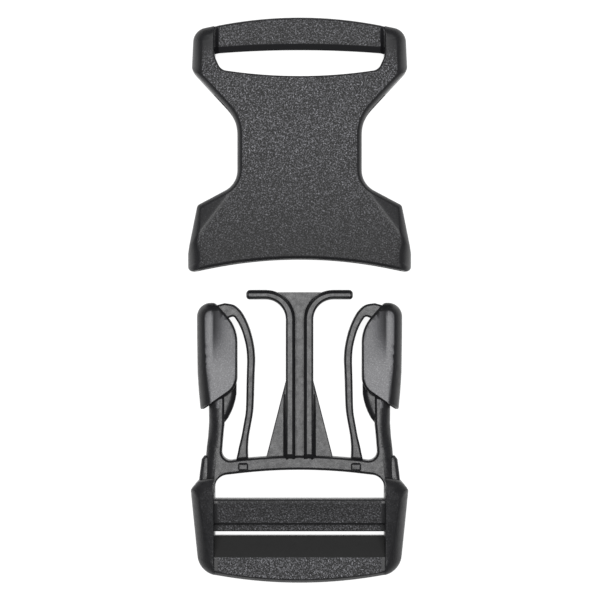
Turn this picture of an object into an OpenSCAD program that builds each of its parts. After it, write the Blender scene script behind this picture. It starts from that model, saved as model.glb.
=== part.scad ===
// Side release buckle for flat webbing, with its socket and its sprung plug lying apart.
// X runs across the webbing, Y along it with the socket on the +Y side, and Z up from the resting face.
// The origin is the middle of the whole length and width, on the resting face.
// A depth is measured in the socket from the crown of its webbing bar towards the mouth,
// and a height in the plug from the low point of its end bar towards the guide.

/* [Webbing] */
// Clear width of the webbing slots, a little over the webbing
web_slot_w = 39; // [36:0.5:44]

/* [Whole buckle] */
// Thickness over the socket and over the plug's shoulders
thick = 12; // [11:0.5:14]
// Thickness of the socket's upper and lower plates
plate_t = 1.9; // [1.6:0.1:2.2]
// Running gap between the plug's arms and the plates they slide between
fit_gap = 0.3; // [0.2:0.05:0.4]
// Gap between the two halves as they lie apart
apart_gap = 3.9; // [1:0.1:20]
// Gap left between the plug's shoulders and the socket's mouth when latched
seat_gap = 0.7; // [0.4:0.1:1.2]

/* [Socket ends] */
// Width of each end post beside the webbing slot
end_post_w = 5.1; // [4.6:0.1:6]
// Depth of the webbing bar at its middle
web_bar_d = 7.45; // [6.5:0.05:9]
// Height of the webbing slot at its middle
web_slot_h = 6.25; // [5.5:0.05:8]
// Bow of the crown of the webbing bar over the slot's width
crown_bow = 2; // [1.2:0.1:2.4]
// Bow of the slot's bar edge over the slot's width
slot_top_bow = 0.8; // [0.4:0.1:1]
// Bow of the slot's body edge over the slot's width
slot_low_bow = 1.7; // [1:0.1:2]
// How far the webbing bar's faces lie inside the end posts' faces
bar_recess = 2; // [1.5:0.1:2.5]
// How far the upper face falls from the body to the crown
end_taper = 1.6; // [0.8:0.1:2]

/* [Socket body] */
// Width of the waist between the two finger openings
waist_w = 28.4; // [27:0.2:30]
// Length of the slanted neck from end post to waist
neck_len = 11.4; // [10.8:0.1:12]
// Length of the finger opening from neck to wing
side_open_len = 14.8; // [14:0.2:18]
// Rise of the wing from the waist to its outer corner
wing_rise = 4.8; // [4.2:0.1:5.5]
// Length of the wing's outer edge down to its widest place
wing_len = 11; // [10:0.2:13]
// Length of the widest stretch at the mouth, with its tips
mouth_len = 4.4; // [3.5:0.1:5.5]
// Wall of the mouth band beside the plug
mouth_wall = 2.1; // [1.6:0.1:2.5]
// Wall that each head catches on, at the wing's outer corner
catch_wall = 2.4; // [1.8:0.05:2.5]
// How far the mouth is wider than the end posts, on each side
mouth_flare = 0.95; // [0.6:0.05:1.4]
// Bow of the mouth's edge over the whole width
mouth_bow = 3.1; // [2.4:0.1:3.6]
// Slope of the facets that thin the wings towards their outer corners
wing_facet_deg = 20; // [14:1:22]
// Wall between the webbing slot and the guide's pocket
pocket_wall = 1.35; // [1:0.05:1.8]
// Round along the sides of the socket and the plug
side_round = 4.4; // [3:0.1:4.8]

/* [Plug ladder] */
// Width of each side post beside the ladder, at the shoulder
side_post_w = 5.45; // [4.8:0.05:6]
// How far each side post narrows from the shoulder to the end bar
side_post_taper = 1.5; // [0.8:0.1:2]
// Depth of the raised front of the end bar
front_bar_d = 5.95; // [4.8:0.05:7]
// Depth of the end bar's steep inner slope
front_slope_d = 4.5; // [3.8:0.1:5.5]
// Slit between the two ladder bars
slit_w = 1; // [0.8:0.1:1.6]
// Depth of the middle ladder bar with its ledge
mid_bar_d = 7.7; // [7:0.1:9]
// Depth of the ledge on the middle ladder bar
ledge_d = 1.8; // [1.2:0.1:2.4]
// Height of the plug's webbing slot at its middle
plug_slot_h = 6.65; // [6.2:0.05:8]
// Depth of the cross bar at its middle
cross_bar_d = 3.2; // [2.8:0.1:3.8]
// Bow of the end bar's outer edge over the slot's width
end_bow = 1.8; // [1.2:0.1:2.2]
// Bow of the cross bar over the slot's width
cross_bow = 1.6; // [1.2:0.1:2]

/* [Guide] */
// Width of the guide's T end
guide_w = 24.4; // [22:0.2:25]
// Thickness of the T end along the webbing
guide_end_d = 2.2; // [1.8:0.1:2.6]
// Width of each of the stem's two ribs
rib_w = 1.75; // [1.4:0.05:2]
// Width of the sunk web between the ribs
stem_web_w = 2.8; // [2.2:0.1:3.4]
// Round between each rib and the T end
guide_round = 4.6; // [3.5:0.1:5]
// Width of each gusset at the cross bar
gusset_w = 4.5; // [3.5:0.1:5]
// Length of each gusset along the stem
gusset_len = 17.4; // [14:0.2:20]

/* [Arms] */
// Width of each arm's shaft
shaft_w = 3.5; // [3.1:0.1:3.7]
// How far the head's catch step reaches past the inner face of its catch wall
catch_d = 1.8; // [1.4:0.1:2]
// Play between the head and its catch wall when latched
catch_play = 0.5; // [0.4:0.1:0.8]
// How far the head's finger side stands out past the inner face of the catch wall
head_out = 2.6; // [2.2:0.1:2.8]
// How far each spring strand lies inside the waist's edge
spring_inset = 4; // [3.6:0.1:4.4]
// Width of each spring strand at its slimmest
spring_w = 1.7; // [1.4:0.05:1.9]

/* [Hidden] */

// Largest turn of one straight piece of a rounded corner, in degrees
arc_step = 9;
// Largest turn along the two long arcs of the webbing bar, in degrees
long_arc_fn = 720;
// Overrun of a cutting body past the face that it cuts
over = 1;
// Sink of one feature into another that it is moulded with
sink = 0.4;
mid_z = thick / 2;
slot_half = web_slot_w / 2;
waist_half = waist_w / 2;

// Rounds of the socket's plan, from the crown to the mouth's tips
crown_round = 3.2;
post_low_round = 2.4;
neck_round = 9;
waist_round = 5.2;
wing_round = 1;
wide_round = 1.6;
tip_round = 1.2;

// Small offsets of the socket's plan: the post's widest place above the slot's lower edge,
// its flare from crown to slot, and the wing's corner inside the post's side
side_lift = 1.65;
post_flare = 0.1;
wing_tuck = 1.25;

// Socket depths, from the crown to the mouth
slot_low = web_bar_d + web_slot_h;
slot_side = slot_low - side_lift;
neck_low = slot_side + neck_len;
waist_low = neck_low + side_open_len;
wing_low = waist_low + wing_rise;
wide_top = wing_low + wing_len;
tip_low = wide_top + mouth_len;
mouth_mid = tip_low - mouth_bow;

// Socket half widths
post_half = slot_half + end_post_w;
mouth_half = post_half + mouth_flare;
wing_half = post_half - wing_tuck;
catch_half = wing_half - catch_wall;
entry_half = mouth_half - mouth_wall;
wing_slope = wing_rise / (wing_half - waist_half);
neck_slope = (post_half + post_flare - waist_half) / neck_len;

// Round of the plug's side posts, which is fuller than the socket's
post_round = side_round + 0.8;
post_low_corner = 4.8;

// How far the room's wide part stops short of the catch walls
wing_clear = 0.3;

// Room between the plates, and the webbing bar's faces
cavity_h = thick - 2 * plate_t;
bar_low_z = bar_recess;
bar_top_z = thick - end_taper - bar_recess;

// Fall of the plug's shoulder from the slot's top, its slant at the post's outer corner,
// and the rise of the mouth's tips over the shoulder's place in the latched buckle
shoulder_drop = 1.8;
shoulder_slant = 2.6;
tip_nest = 1.2;

// Plug heights, from the end bar to the cross bar
end_bar_top = front_bar_d + front_slope_d;
mid_bar_low = end_bar_top + slit_w;
mid_bar_top = mid_bar_low + mid_bar_d;
plug_slot_top = mid_bar_top + plug_slot_h;
cross_top = plug_slot_top + cross_bar_d;
shoulder = plug_slot_top - shoulder_drop;
shoulder_half = slot_half + side_post_w;

// In the latched buckle, a place's plug height and socket depth add up to this
latched_sum = tip_low - tip_nest + shoulder + seat_gap;

// Plug heights that the socket sets
pocket_end = slot_low + pocket_wall;
side_open_top = pocket_end + 2.25;
guide_top = latched_sum - pocket_end + 0.1;
head_top = latched_sum - side_open_top - 0.6;
total_len = tip_low + apart_gap + guide_top;

// Hinge line of each arm, at the root of its shaft, and its round knuckle
pivot_x = slot_half + 0.25;
pivot_y = cross_top - 1.5;
// Half width of the blocks that hold the knuckles
block_half = pivot_x + shaft_w / 2 + 0.25;
knuckle_r = shaft_w / 2;
knuckle_gap = 0.05;

// Gap between the spring's hook and the head that it is moulded with
spring_gap = 0.05;

// Arm and head half widths, and the heights of the head's edges
shaft_half = catch_half - 0.2;
step_half = catch_half + catch_d;
head_half = catch_half + head_out;
head_in = waist_half + 0.1;
step_y = latched_sum - wing_depth(step_half) + catch_play;
head_low = latched_sum - wing_depth(head_in) + catch_play;
head_neck = latched_sum - neck_low - 0.1;

// Thicknesses of the plug's parts, all about the middle of the buckle's thickness
head_t = cavity_h - 2 * fit_gap;
shaft_t = head_t - 0.8;
under_head_t = 4;
spring_t = head_t - 1.2;
guide_t = head_t - 1.2;
cross_t = guide_t - 1.2;
stem_web_t = 2;
gusset_t = 1.6;
fin_t = 3;
head_round = 2.8;

// Small raised pips on the cross bar under the springs' feet
pip_x = waist_half - 1.3;
pip_w = 2.2;
pip_d = 1.7;
pip_rise = 0.35;

// Spring strand, one row for each section from the foot to the hook:
// share of the height to the head's top, share of the inset inside the waist, share of the slimmest width
spring_rows = [
    [0.015, 0.588, 1.50],
    [0.067, 0.588, 1.235],
    [0.146, 0.643, 1.0],
    [0.221, 0.765, 0.98],
    [0.298, 0.88, 0.98],
    [0.375, 0.93, 1.0],
    [0.49, 0.96, 1.02],
    [0.568, 0.985, 1.04],
    [0.643, 0.99, 1.07],
    [0.722, 0.94, 1.09],
    [0.797, 0.793, 1.13],
    [0.836, 0.683, 1.16],
    [0.874, 0.55, 1.24]
];

// Upper side of the spring's hook, as offsets from the head's inner side and its top
hook_rows = [
    [-1.64, -3.15],
    [-0.7, -1.75],
    [0.8, -0.5],
    [2.9, -0.08]
];

function unit(p) = p / norm(p);
function flip(rows) = [for (i = [len(rows) - 1 : -1 : 0]) [-rows[i][0], rows[i][1], rows[i][2]]];
function both(rows) = concat(rows, flip(rows));
function reversed(p) = [for (i = [len(p) - 1 : -1 : 0]) p[i]];
function turn_of(a, b) = atan2(a[0] * b[1] - a[1] * b[0], a * b);

// Depth of the wing's edge at a half width, and height of the cross bar's upper edge
function wing_depth(x) = waist_low + wing_slope * (x - waist_half);
function cross_edge(x) = cross_top - cross_bow * pow(x / slot_half, 2);

// Radius of the arc that bows by bow over a half width
function bow_radius(bow, half) = (half * half + bow * bow) / (2 * bow);

// Points of one corner at p, with neighbours a and b and the round r
function corner(p, a, b, r) =
    let (into = unit(p - a), out = unit(b - p), turn = turn_of(into, out))
    r <= 0 || abs(turn) < 1 ? [p] :
    let (
        side = sign(turn),
        start = p - into * r * tan(abs(turn) / 2),
        centre = start + side * r * [-into[1], into[0]],
        count = ceil(abs(turn) / arc_step),
        first = atan2(start[1] - centre[1], start[0] - centre[0])
    )
    [for (i = [0 : count]) centre + r * [cos(first + turn * i / count), sin(first + turn * i / count)]];

// Closed outline with its corners rounded, from rows of x, y and round
function rounded(rows) = [
    for (i = [0 : len(rows) - 1])
        let (
            n = len(rows),
            p = rows[i],
            a = rows[(i + n - 1) % n],
            b = rows[(i + 1) % n]
        )
        each corner([p[0], p[1]], [a[0], a[1]], [b[0], b[1]], p[2])
];

// Rows of a bowed edge from x = from to x = to, at y = base and off it by bow at the half width span
function bowed(from, to, base, bow, span, count = 12) = [
    for (i = [0 : count])
        let (x = from + (to - from) * i / count)
        [x, base + bow * pow(x / span, 2), 0]
];

// Smooth curve through the given points, with count pieces between each two
function smooth(p, count) = concat(
    [
        for (i = [0 : len(p) - 2])
            let (
                a = p[max(i - 1, 0)],
                b = p[i],
                c = p[i + 1],
                d = p[min(i + 2, len(p) - 1)]
            )
            for (k = [0 : count - 1])
                let (t = k / count)
                b + t * (c - a) / 2 + t * t * (2 * a - 5 * b + 4 * c - d) / 2 + t * t * t * (3 * b - a - 3 * c + d) / 2
    ],
    [p[len(p) - 1]]
);

// Points as rows without a round
function plain(p) = [for (q = p) [q[0], q[1], 0]];

// Bar along X whose cross section has rows of y, z and round
module bar_along_x(rows, half) {
    rotate([90, 0, 90])
        translate([0, 0, -half])
            linear_extrude(2 * half)
                polygon(rounded(rows));
}

// Prism along Y whose cross section has rows of x, z and round
module prism_along_y(rows, low, high) {
    translate([0, high, 0])
        rotate([90, 0, 0])
            linear_extrude(high - low)
                polygon(rounded(rows));
}

// Slab of a plan outline, centred on the buckle's middle plane
module slab(rows, t) {
    translate([0, 0, mid_z - t / 2])
        linear_extrude(t)
            polygon(rounded(rows));
}

// Sector of a ring about a far centre, whose cross section has rows of distance from the bowed edge, z and round
module long_ring(radius, half, rows) {
    angle = 2 * asin(half / radius);
    translate([0, -radius, 0])
        rotate([0, 0, 90 - angle / 2])
            rotate_extrude(angle = angle, $fn = long_arc_fn)
                translate([radius, 0])
                    polygon(rounded(rows));
}

// Cross section over the whole width, with its four long edges rounded
function round_sided(half, t, r) = [
    [-half, mid_z - t / 2, r],
    [half, mid_z - t / 2, r],
    [half, mid_z + t / 2, r],
    [-half, mid_z + t / 2, r]
];

// Puts the socket in place, with its depths along -Y
module place_socket() {
    translate([0, total_len / 2, 0])
        children();
}

// Puts the plug in place, with its heights along +Y
module place_plug() {
    translate([0, -total_len / 2, 0])
        children();
}

// Plan of the right side of the socket, from the crown's corner to the mouth's tip
function socket_side() = [
    [post_half - 3 * post_flare, -1.5 * crown_bow, crown_round],
    [post_half + post_flare, -slot_side, post_low_round],
    [waist_half, -neck_low, neck_round],
    [waist_half, -waist_low, waist_round],
    [wing_half, -wing_low, wing_round],
    [mouth_half, -wide_top, wide_round],
    [mouth_half, -tip_low, tip_round]
];

// Whole plan of the socket, with the bowed crown and mouth
function socket_rows() =
    let (crown_half = post_half - crown_round - 0.4, lip_half = mouth_half - tip_round - 0.4)
    concat(
        bowed(-crown_half, crown_half, 0, -crown_bow, slot_half),
        socket_side(),
        bowed(lip_half, -lip_half, -mouth_mid, -0.9 * mouth_bow, lip_half, 20),
        flip(socket_side())
    );

// Webbing bar of the socket, rounded where the webbing turns over it
module web_bar() {
    slot_edge = web_bar_d + slot_top_bow;
    bar_sink = 2;
    slot_round = 1.4;
    crown_chamfer = 0.6;
    intersection() {
        translate([0, -web_bar_d, 0])
            long_ring(bow_radius(slot_top_bow, slot_half), slot_half + bar_sink, [
                [0, bar_low_z, slot_round],
                [slot_edge, bar_low_z, 0],
                [slot_edge, bar_top_z, 0],
                [0, bar_top_z, slot_round]
            ]);
        long_ring(bow_radius(crown_bow, slot_half), slot_half + bar_sink, [
            [-2 * slot_edge, bar_low_z - over, 0],
            [0, bar_low_z - over, 0],
            [0, bar_low_z, 0],
            [0, bar_top_z - crown_chamfer, 0],
            [-crown_chamfer, bar_top_z, 0],
            [-crown_chamfer, bar_top_z + over, 0],
            [-2 * slot_edge, bar_top_z + over, 0]
        ]);
    }
}

// Webbing slot of the socket, together with the place of its webbing bar
module web_slot() {
    low_half = slot_half - 1.55;
    corner_y = slot_low_bow * pow(low_half / slot_half, 2) - slot_low;
    side_y = -web_bar_d - slot_top_bow - 0.6;
    bow_half = low_half - 1.65;
    linear_extrude(3 * thick, center = true)
        polygon(rounded(concat(
            [
                [slot_half, over, 0],
                [-slot_half, over, 0],
                [-slot_half, side_y, 3],
                [-low_half, corner_y, 2.2]
            ],
            bowed(-bow_half, bow_half, -slot_low, slot_low_bow, slot_half),
            [
                [low_half, corner_y, 2.2],
                [slot_half, side_y, 3]
            ]
        )));
}

// Room between the plates: the finger openings, the passage past the catch walls and the flared mouth
module plug_room() {
    catch_y = wing_clear - wing_depth(catch_half);
    side = [
        [post_half + over, -side_open_top, 0],
        [post_half + over, catch_y, 0],
        [catch_half, catch_y, 0],
        [catch_half, -wing_low - 0.5, 3],
        [entry_half, -wide_top, 3],
        [entry_half, -tip_low - over, 0]
    ];
    slab(both(side), cavity_h);
    pocket_half = guide_w / 2 + fit_gap;
    slab(concat(
        bowed(-pocket_half, pocket_half, -pocket_end, slot_low_bow, slot_half),
        [[pocket_half, -side_open_top - over, 0], [-pocket_half, -side_open_top - over, 0]]
    ), cavity_h);
}

// Sloped facet on the upper face of the right wing, from the foot of the waist to the mouth's side
module wing_facet() {
    start = [waist_half - 0.1, -waist_low + 0.6];
    run = [mouth_half + 0.05, -wide_top + 1.25] - start;
    translate([start[0], start[1], thick])
        rotate([0, 0, atan2(run[1], run[0])])
            rotate([-wing_facet_deg, 0, 0])
                translate([-0.5, 0, 0])
                    cube([2 * norm(run), wing_len, thick / 2]);
}

module socket() {
    color("dimgray")
        place_socket()
            union() {
                difference() {
                    intersection() {
                        slab(socket_rows(), thick);
                        prism_along_y(round_sided(mouth_half, thick, side_round), -tip_low - over, over);
                        bar_along_x([
                            [over, 0, 0],
                            [over, thick - end_taper, 0],
                            [-crown_bow, thick - end_taper, 6],
                            [-slot_low, thick, 6],
                            [-tip_low - over, thick, 0],
                            [-tip_low - over, 0, 0]
                        ], mouth_half + over);
                    }
                    web_slot();
                    plug_room();
                    for (side = [0, 1], face = [0, 1])
                        mirror([side, 0, 0])
                            translate([0, 0, face * thick])
                                mirror([0, 0, face])
                                    wing_facet();
                }
                web_bar();
            }
}

// Plan of the right side of the plug's ladder, from the end bar's corner to the shoulder
function ladder_side() = let (low_half = shoulder_half - side_post_taper - 0.35) [
    [low_half - 0.05, 2.4, post_low_corner],
    [shoulder_half, shoulder - shoulder_slant, 0.9],
    [shoulder_half - 1.75, shoulder - 0.7, 1.4],
    [slot_half + 0.5, shoulder, 0]
];

module ladder_posts() {
    turn_y = shoulder - shoulder_slant;
    lean = atan2(side_post_taper + 0.35, turn_y - 2.4);
    for (side = [0, 1])
        mirror([side, 0, 0])
            difference() {
                intersection() {
                    slab(concat(
                        bowed(-slot_half + 1.4, slot_half - 1.4, 0, end_bow, slot_half),
                        ladder_side(),
                        flip(ladder_side())
                    ), thick);
                    translate([shoulder_half, turn_y, 0])
                        rotate([0, 0, -lean])
                            translate([-shoulder_half, -turn_y, 0])
                                prism_along_y(round_sided(shoulder_half, thick, post_round), -4, cross_top + 4);
                    bar_along_x([
                        [0, 0, 2],
                        [shoulder + over, 0, 0],
                        [shoulder + over, thick, 0],
                        [mid_bar_top - 2, thick, 6],
                        [0, thick - end_taper, 3]
                    ], shoulder_half + over);
                }
                translate([-shoulder_half - over, -over, -over])
                    cube([shoulder_half + over + slot_half, cross_top + 2 * over, thick + 2 * over]);
            }
}

// End bar: a raised front, and a steep slope that falls to the slit
module end_bar() {
    intersection() {
        bar_along_x([
            [-over, 1.6, 0],
            [end_bar_top, 1.6, 0.6],
            [end_bar_top, 4.4, 0.6],
            [front_bar_d, thick - end_taper - 0.4, 0.5],
            [1.2, thick - end_taper - 0.8, 1],
            [-over, thick - end_taper - 2.4, 0]
        ], slot_half + sink);
        linear_extrude(thick)
            polygon(rounded(concat(
                bowed(-slot_half - sink, slot_half + sink, 0, end_bow, slot_half),
                [[slot_half + sink, end_bar_top + over, 0], [-slot_half - sink, end_bar_top + over, 0]]
            )));
    }
}

// Middle ladder bar that the webbing turns over, with a ledge beside the slit
module mid_bar() {
    bar_along_x([
        [mid_bar_low, 2.8, 0.6],
        [mid_bar_top, 2.4, 1.6],
        [mid_bar_top, 8.8, 0.9],
        [mid_bar_low + ledge_d, 8.3, 0.4],
        [mid_bar_low + ledge_d, 5.6, 0.3],
        [mid_bar_low, 5.2, 0.5]
    ], slot_half + sink);
}

// Cross bar under the guide and the springs, bowed like the mouth, with the webbing slot's rounded corners
module cross_bar() {
    block_y = pivot_y - 0.6;
    root_y = shoulder - 2.5;
    slot_corner_y = plug_slot_top - 0.9 * cross_bow;
    slab(concat(
        bowed(pivot_x - knuckle_r - 0.6, knuckle_r + 0.6 - pivot_x, cross_top, -cross_bow, slot_half, 20),
        [
            [-block_half, block_y, 0],
            [-block_half, root_y, 0],
            [-slot_half, root_y, 0],
            [-slot_half, slot_corner_y, 3]
        ],
        bowed(4.2 - slot_half, slot_half - 4.2, plug_slot_top, -cross_bow, slot_half),
        [
            [slot_half, slot_corner_y, 3],
            [slot_half, root_y, 0],
            [block_half, root_y, 0],
            [block_half, block_y, 0]
        ]
    ), cross_t);
    for (side = [0, 1])
        mirror([side, 0, 0]) {
            slab([
                [slot_half - 0.9, plug_slot_top - cross_bow - 0.6, 0.6],
                [block_half, shoulder - over, 0],
                [block_half, block_y, 0.3],
                [slot_half - 0.9, block_y, 0.6]
            ], shaft_t);
            slab([
                [block_half - sink, shoulder - over, 0],
                [block_half + 1.3, shoulder - 0.8, 0],
                [block_half + 1.1, pivot_y - 2.3, 0],
                [block_half + 0.7, pivot_y + 0.7, 0.4],
                [block_half, pivot_y + 1.6, 0.3],
                [block_half - 0.12, pivot_y - 0.4, 0]
            ], fin_t);
            translate([pip_x - pip_w / 2, plug_slot_top - 0.15, 0])
                slab([[0, 0, 0.5], [pip_w, 0, 0.5], [pip_w, pip_d, 0.5], [0, pip_d, 0.5]], cross_t + 2 * pip_rise);
        }
}

// Seat of each arm's knuckle, with the room that the shaft needs to swing in
module knuckle_seat() {
    translate([pivot_x, pivot_y, -over]) {
        cylinder(r = knuckle_r + knuckle_gap, h = thick + 2 * over, $fn = 64);
        translate([-knuckle_r - 0.5, -0.1, 0])
            cube([knuckle_r + 0.5, 3, thick + 2 * over]);
    }
}

// Right half of the guide: a rib that curves out into the T end
module guide_rib() {
    rib_in = stem_web_w / 2;
    slab([
        [rib_in, cross_top - 1, 0.8],
        [rib_in + rib_w, cross_top - 1, 0.8],
        [rib_in + rib_w, guide_top - guide_end_d, guide_round],
        [guide_w / 2, guide_top - guide_end_d, 0.8],
        [guide_w / 2, guide_top, 0.9],
        [rib_in, guide_top, guide_round + rib_w]
    ], guide_t);
}

// Sunk web between the ribs, flared at the T end, and the thin gussets beside the stem
module guide_web() {
    web_in = stem_web_w / 2 + 0.8;
    flare_y = guide_top - 0.55;
    side = [
        [web_in + guide_round + 0.8, flare_y, 0],
        [web_in + guide_round, flare_y - 0.4, 0],
        [web_in, flare_y - 0.4, guide_round],
        [web_in, cross_top - 1.2, 0]
    ];
    slab(both(side), stem_web_t);
    for (side = [0, 1])
        mirror([side, 0, 0])
            slab([
                [stem_web_w / 2 + rib_w - sink, cross_top - over, 0],
                [stem_web_w / 2 + rib_w + gusset_w, cross_top - over, 0],
                [stem_web_w / 2 + rib_w + gusset_w, cross_top - 0.3, 0],
                [stem_web_w / 2 + rib_w, cross_top + gusset_len, 0],
                [stem_web_w / 2 + rib_w - sink, cross_top + gusset_len, 0]
            ], gusset_t);
}

module plug_frame() {
    color("gray")
        place_plug()
            union() {
                ladder_posts();
                end_bar();
                mid_bar();
                difference() {
                    cross_bar();
                    for (side = [0, 1])
                        mirror([side, 0, 0])
                            knuckle_seat();
                }
                for (side = [0, 1])
                    mirror([side, 0, 0])
                        guide_rib();
                guide_web();
            }
}

// Right arm: knuckle, shaft, the thinner web under the head, and the head with its catch step
module arm() {
    shaft_in = shaft_half - shaft_w;
    under_w = shaft_in - head_in;
    under_curve = 40 / under_w;
    translate([pivot_x, pivot_y, mid_z])
        cylinder(r = knuckle_r, h = shaft_t, center = true, $fn = 64);
    slab([
        [pivot_x - knuckle_r, pivot_y, 0],
        [pivot_x + knuckle_r, pivot_y, 0],
        [shaft_half, step_y, 0],
        [shaft_half, head_low, 0],
        [shaft_in, head_low, 0],
        [shaft_in, step_y, 0]
    ], shaft_t);
    slab([
        [shaft_in + over, step_y - 3.6, 0],
        [shaft_in, step_y - 3.6, 0],
        [head_in + 0.25 * under_w, step_y + 0.1, under_curve],
        [head_in + 0.02 * under_w, head_low + 0.6, 0],
        [shaft_in + over, head_low + 0.6, 0]
    ], under_head_t);
    intersection() {
        slab([
            [step_half, step_y, 0.3],
            [head_half - 0.1, step_y + 7.6, 8],
            [head_half, head_top, 3.2],
            [head_in + (head_top - head_neck) * neck_slope, head_top, 1.2],
            [head_in, head_neck, 8.8],
            [head_in, head_low, 5],
            [shaft_half, latched_sum - wing_depth(shaft_half) + catch_play, 0]
        ], head_t);
        prism_along_y(round_sided(head_half, head_t, head_round), 0, total_len);
    }
}

// Right spring: a slim strand that flares at its foot and hooks over at its top to meet the head
module spring() {
    foot_y = cross_top - 0.7;
    inner = [for (row = spring_rows) [waist_half - spring_inset * row[1], foot_y + (head_top - foot_y) * row[0]]];
    outer = [for (i = [0 : len(inner) - 1]) inner[i] + [spring_w * spring_rows[i][2], 0]];
    hook = [for (row = hook_rows) [head_in + row[0], head_top + row[1]]];
    foot_in = inner[0][0];
    foot_out = outer[0][0];
    crotch_y = head_top - 3.2;
    function head_edge(y) = head_in + (y - head_neck) * neck_slope - spring_gap;
    slab(concat(
        [
            [foot_in, cross_edge(foot_in) + knuckle_gap, 0],
            [foot_out, cross_edge(foot_out) + knuckle_gap, 0]
        ],
        plain(smooth(outer, 3)),
        [
            [head_in + 0.75, crotch_y + 0.1, 0.7],
            [head_edge(crotch_y - 0.15), crotch_y - 0.15, 0],
            [head_edge(head_top - 0.1), head_top - 0.1, 0.2]
        ],
        plain(reversed(smooth(concat(inner, hook), 3)))
    ), spring_t);
}

module left_arm() {
    color("darkgray")
        place_plug()
            mirror([1, 0, 0])
                arm();
}

module right_arm() {
    color("darkgray")
        place_plug()
            arm();
}

module left_spring() {
    color("silver")
        place_plug()
            mirror([1, 0, 0])
                spring();
}

module right_spring() {
    color("silver")
        place_plug()
            spring();
}

socket();
plug_frame();
left_arm();
right_arm();
left_spring();
right_spring();
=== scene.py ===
# Side release buckle: the shapes, surfaces and stage of its socket and its plug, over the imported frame.
# X runs across the webbing, Y along it with the socket on the +Y side, and Z up from the resting face.
# Plans are worked out in millimetres and become metres as they are put on a mesh.

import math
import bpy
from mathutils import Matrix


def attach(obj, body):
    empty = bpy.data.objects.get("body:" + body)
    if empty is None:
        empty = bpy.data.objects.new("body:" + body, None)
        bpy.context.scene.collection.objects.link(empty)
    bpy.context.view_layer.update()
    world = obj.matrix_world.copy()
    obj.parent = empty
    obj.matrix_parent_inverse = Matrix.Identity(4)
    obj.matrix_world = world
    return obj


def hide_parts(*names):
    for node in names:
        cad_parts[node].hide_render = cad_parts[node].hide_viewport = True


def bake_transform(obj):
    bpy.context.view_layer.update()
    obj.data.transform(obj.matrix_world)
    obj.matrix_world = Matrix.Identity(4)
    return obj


bl_info = {
    "name": "Side Release Buckle",
    "version": (1, 0, 0),
    "blender": (4, 5, 0),
    "location": "3D View > Sidebar > Buckle",
    "description": "Models a side release buckle for flat webbing, with its grained socket and sprung plug",
    "category": "Object",
}

import typing

import bmesh
import bpy
from mathutils import Vector

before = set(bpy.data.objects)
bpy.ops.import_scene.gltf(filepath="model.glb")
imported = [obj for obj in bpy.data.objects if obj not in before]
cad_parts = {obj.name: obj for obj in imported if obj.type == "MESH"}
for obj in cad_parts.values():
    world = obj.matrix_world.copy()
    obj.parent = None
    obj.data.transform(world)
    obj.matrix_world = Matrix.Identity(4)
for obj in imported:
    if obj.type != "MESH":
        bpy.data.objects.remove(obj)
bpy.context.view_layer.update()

MM = 0.001
# Half of the whole length, from the crown of the socket to the end bar of the plug
HALF_LENGTH = 64.675
# Largest turn of one straight piece of a rounded corner
ARC_STEP = math.radians(7)
# Longest straight piece of a plan outline
LONGEST = 3.0
# Turn under which a corner is a point on a bowed edge
FLAT_TURN = 0.03
# Smallest round that an outline keeps when it is moved inwards
LEAST_ROUND = 0.03
# Crease in degrees that shades as a sharp line, where a round leaves a face of the plug's small parts
CRISP = 36
# Angle between two faces from which their edge shades as a sharp line
SHARP_FROM = math.radians(34)
# Points nearer than this are one, in metres
TINY = 0.000002
# Height of the middle plane that the arms, springs and guide lie on
MID_HEIGHT = 6.0
# How far the crown's edge and the end bar's edge have bowed at the slots' ends
CROWN_BOW = -2.0
END_BOW = 1.8
# How far the upper face falls towards the crown and towards the end bar
END_FALL = 1.6
# Start of the crease along a wing's facet, as distance from the middle and depth from the crown
WING_X = 14.1
WING_DEPTH = 37.65
# Directions along the right wing's crease, towards the mouth, and away from the body across it
WING_RUN = Vector((11.5, -15.15)).normalized()
WING_OUT = Vector((-WING_RUN.y, WING_RUN.x))


class Corner(typing.NamedTuple):
    """Corner of a plan outline; edge is the round along the edge that begins here, inner the inset corner"""

    x: float
    y: float
    round: float = 0.0
    edge: float = 0.3
    inner: tuple = ()


class BuckleSizes(bpy.types.PropertyGroup):
    """Sizes of the buckle that the webbing and the moulds set"""

    slot_width: bpy.props.FloatProperty(
        name="Slot Width", description="Clear width of the webbing slots", default=0.039, unit="LENGTH"
    )
    thickness: bpy.props.FloatProperty(
        name="Thickness",
        description="Thickness of the socket and of the plug's posts",
        default=0.012,
        unit="LENGTH",
    )
    waist_width: bpy.props.FloatProperty(
        name="Waist Width",
        description="Width of the socket between its finger openings",
        default=0.0284,
        unit="LENGTH",
    )
    plate_thickness: bpy.props.FloatProperty(
        name="Plate Thickness", description="Thickness of the socket's plates", default=0.0019, unit="LENGTH"
    )
    edge_round: bpy.props.FloatProperty(
        name="Edge Round",
        description="Round along the socket's neck and waist",
        default=0.0014,
        unit="LENGTH",
    )
    fine_round: bpy.props.FloatProperty(
        name="Fine Round",
        description="Round along the edges of the cross bar, arms and springs",
        default=0.0005,
        unit="LENGTH",
    )
    rib_width: bpy.props.FloatProperty(
        name="Rib Width", description="Width of each rib of the guide's stem", default=0.00175, unit="LENGTH"
    )


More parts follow.
